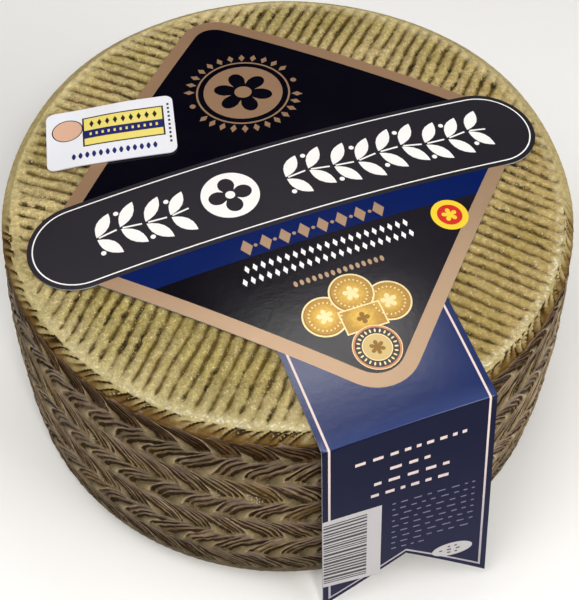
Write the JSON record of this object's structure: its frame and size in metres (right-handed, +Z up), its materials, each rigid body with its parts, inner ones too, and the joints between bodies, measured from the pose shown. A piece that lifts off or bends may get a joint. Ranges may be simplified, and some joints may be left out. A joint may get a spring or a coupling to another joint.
{
  "type": "whole pressed sheep's milk cheese",
  "caption": "Low round aged cheese with ridged faces, a plaited print round its side, a die-cut label card whose swallowtail tongue hangs over the front, and a small card.",
  "frame": {"origin": "middle of the face that the cheese rests on", "axes": "+Z up through the middle of the cheese, +X along the label's banner to the reader's right, the label's tongue hangs on the -Y side"},
  "size_m": [0.1998, 0.2134, 0.1013],
  "materials": {
    "rind": "oiled olive-yellow rind with brown and grey mould in the pressed lines",
    "label_card": "smooth printed card in navy, black and tan",
    "small_card": "smooth white printed card"
  },
  "bodies": {
    "root": {"cheese_wheel": "rind", "label": "label_card", "small_card": "small_card"}
  },
  "joints": []
}
